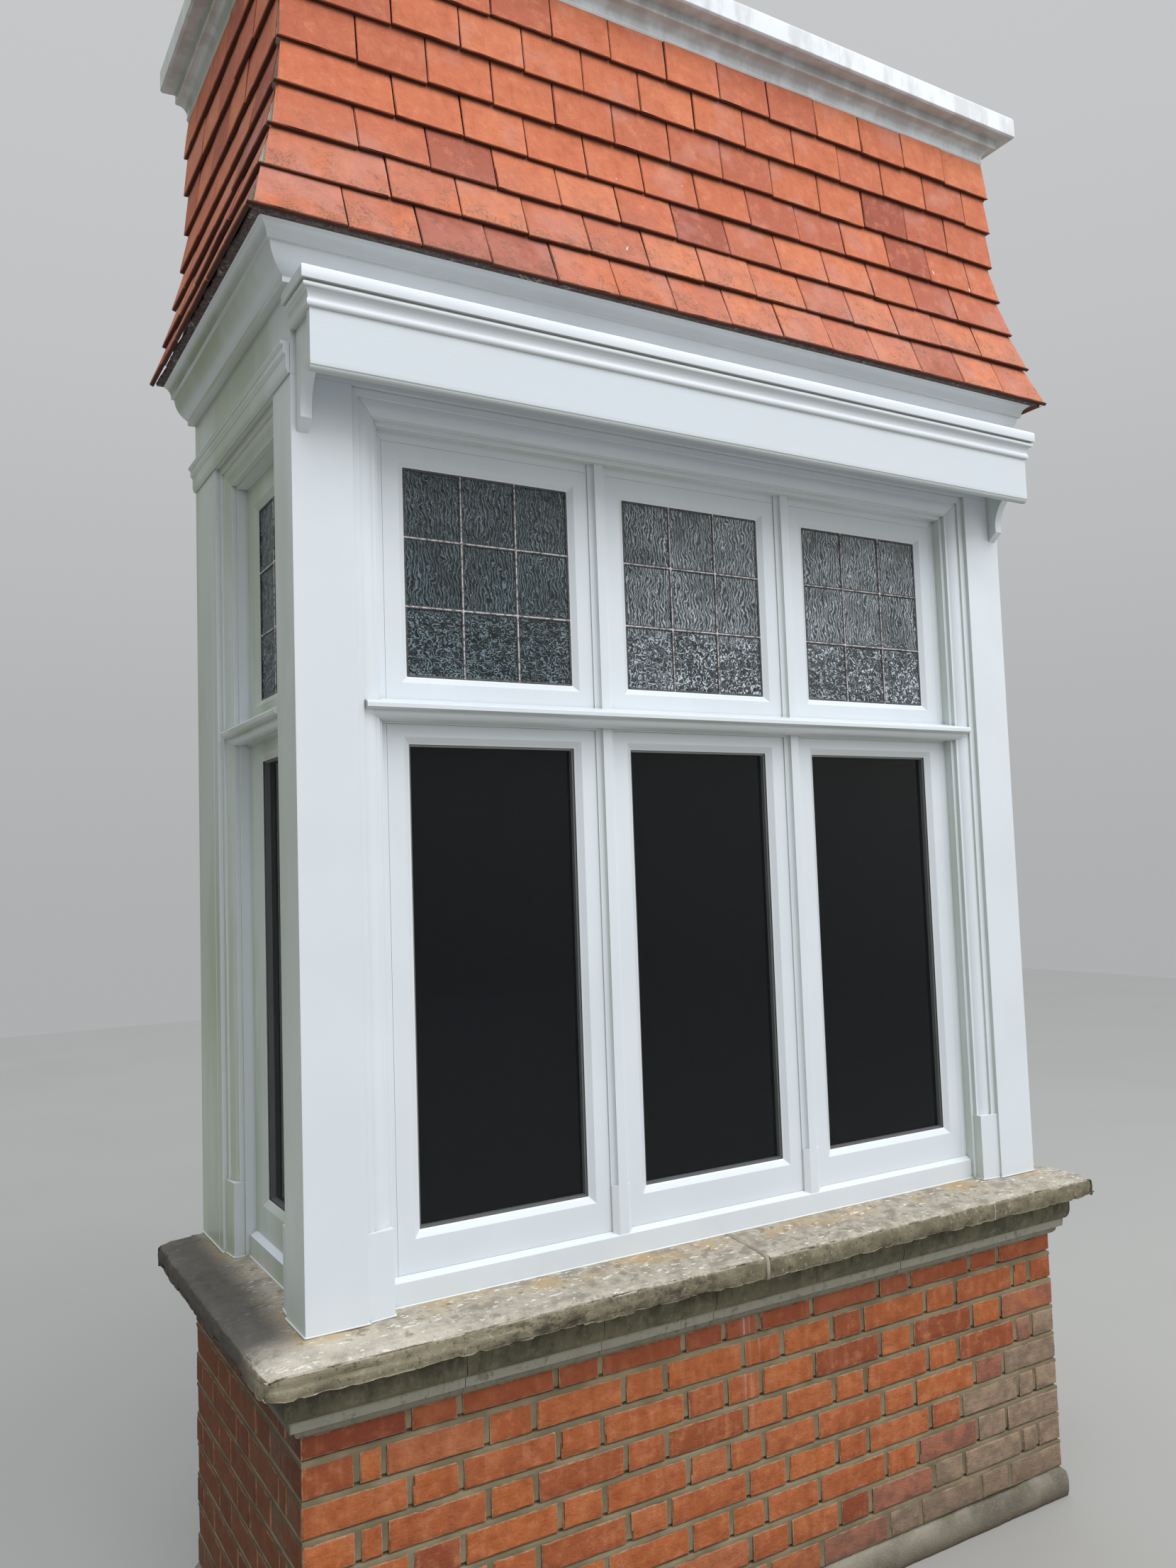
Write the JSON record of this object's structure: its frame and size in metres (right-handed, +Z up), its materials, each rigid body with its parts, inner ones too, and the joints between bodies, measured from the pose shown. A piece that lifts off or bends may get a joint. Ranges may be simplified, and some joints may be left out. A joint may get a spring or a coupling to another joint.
{
  "type": "box bay window",
  "caption": "White timber box bay window on a brick and stone base, with leaded top lights, a blind box, a tile-hung skirt and a moulded sill on top.",
  "frame": {"origin": "ground level, on the centre line of the bay, in the plane of the corner posts' front faces", "axes": "+X to the right seen from outside, +Y back into the house, +Z up; the window looks along -Y"},
  "size_m": [2.38, 1.023, 4.059],
  "materials": {
    "painted_timber": "gloss white paint, weathered",
    "brick": "rough orange-red clay brick with wide buff mortar",
    "cement": "rough cement render, stained",
    "string_stone": "weathered moulded stone, grey-green growth",
    "sill_stone": "weathered sandstone with lichen and chipped arrises",
    "clear_glass": "clear double glazing",
    "leaded_glass": "rippled glass in lead cames",
    "spacer_metal": "dull aluminium edge bar between the two sheets",
    "clay_tile": "matte clay tile, stained",
    "deck_board": "plain sawn boards",
    "ceiling_plaster": "flat painted plaster board"
  },
  "bodies": {
    "root": {"footing": "cement", "brick_plinth": "brick", "string_course": "string_stone", "sill_stone_front_left": "sill_stone", "sill_stone_front_right": "sill_stone", "sill_stone_return_left": "sill_stone", "sill_stone_return_right": "sill_stone", "timber_sill_front": "painted_timber", "timber_sills_side": "painted_timber", "corner_post_left": "painted_timber", "corner_post_right": "painted_timber", "wall_posts": "painted_timber", "mullions": "painted_timber", "transom_front": "painted_timber", "transoms_side": "painted_timber", "head_front": "painted_timber", "heads_side": "painted_timber", "lower_sashes_front": "painted_timber", "upper_sashes_front": "painted_timber", "lower_sashes_side": "painted_timber", "upper_sashes_side": "painted_timber", "lower_panes_front": "clear_glass", "upper_panes_front": "leaded_glass", "lower_panes_side": "clear_glass", "upper_panes_side": "leaded_glass", "pane_spacers": "spacer_metal", "head_beam": "painted_timber", "side_bands": "painted_timber", "blind_box_fascia": "painted_timber", "blind_box_cap": "painted_timber", "blind_box_brackets": "painted_timber", "crown_cornice_front": "painted_timber", "crown_cornices_side": "painted_timber", "tile_skirt_front": "clay_tile", "tile_skirts_side": "clay_tile", "capping_sill_front": "painted_timber", "capping_sills_side": "painted_timber", "top_deck": "deck_board", "ceiling": "ceiling_plaster", "window_board_front": "painted_timber", "window_boards_side": "painted_timber"}
  },
  "joints": []
}
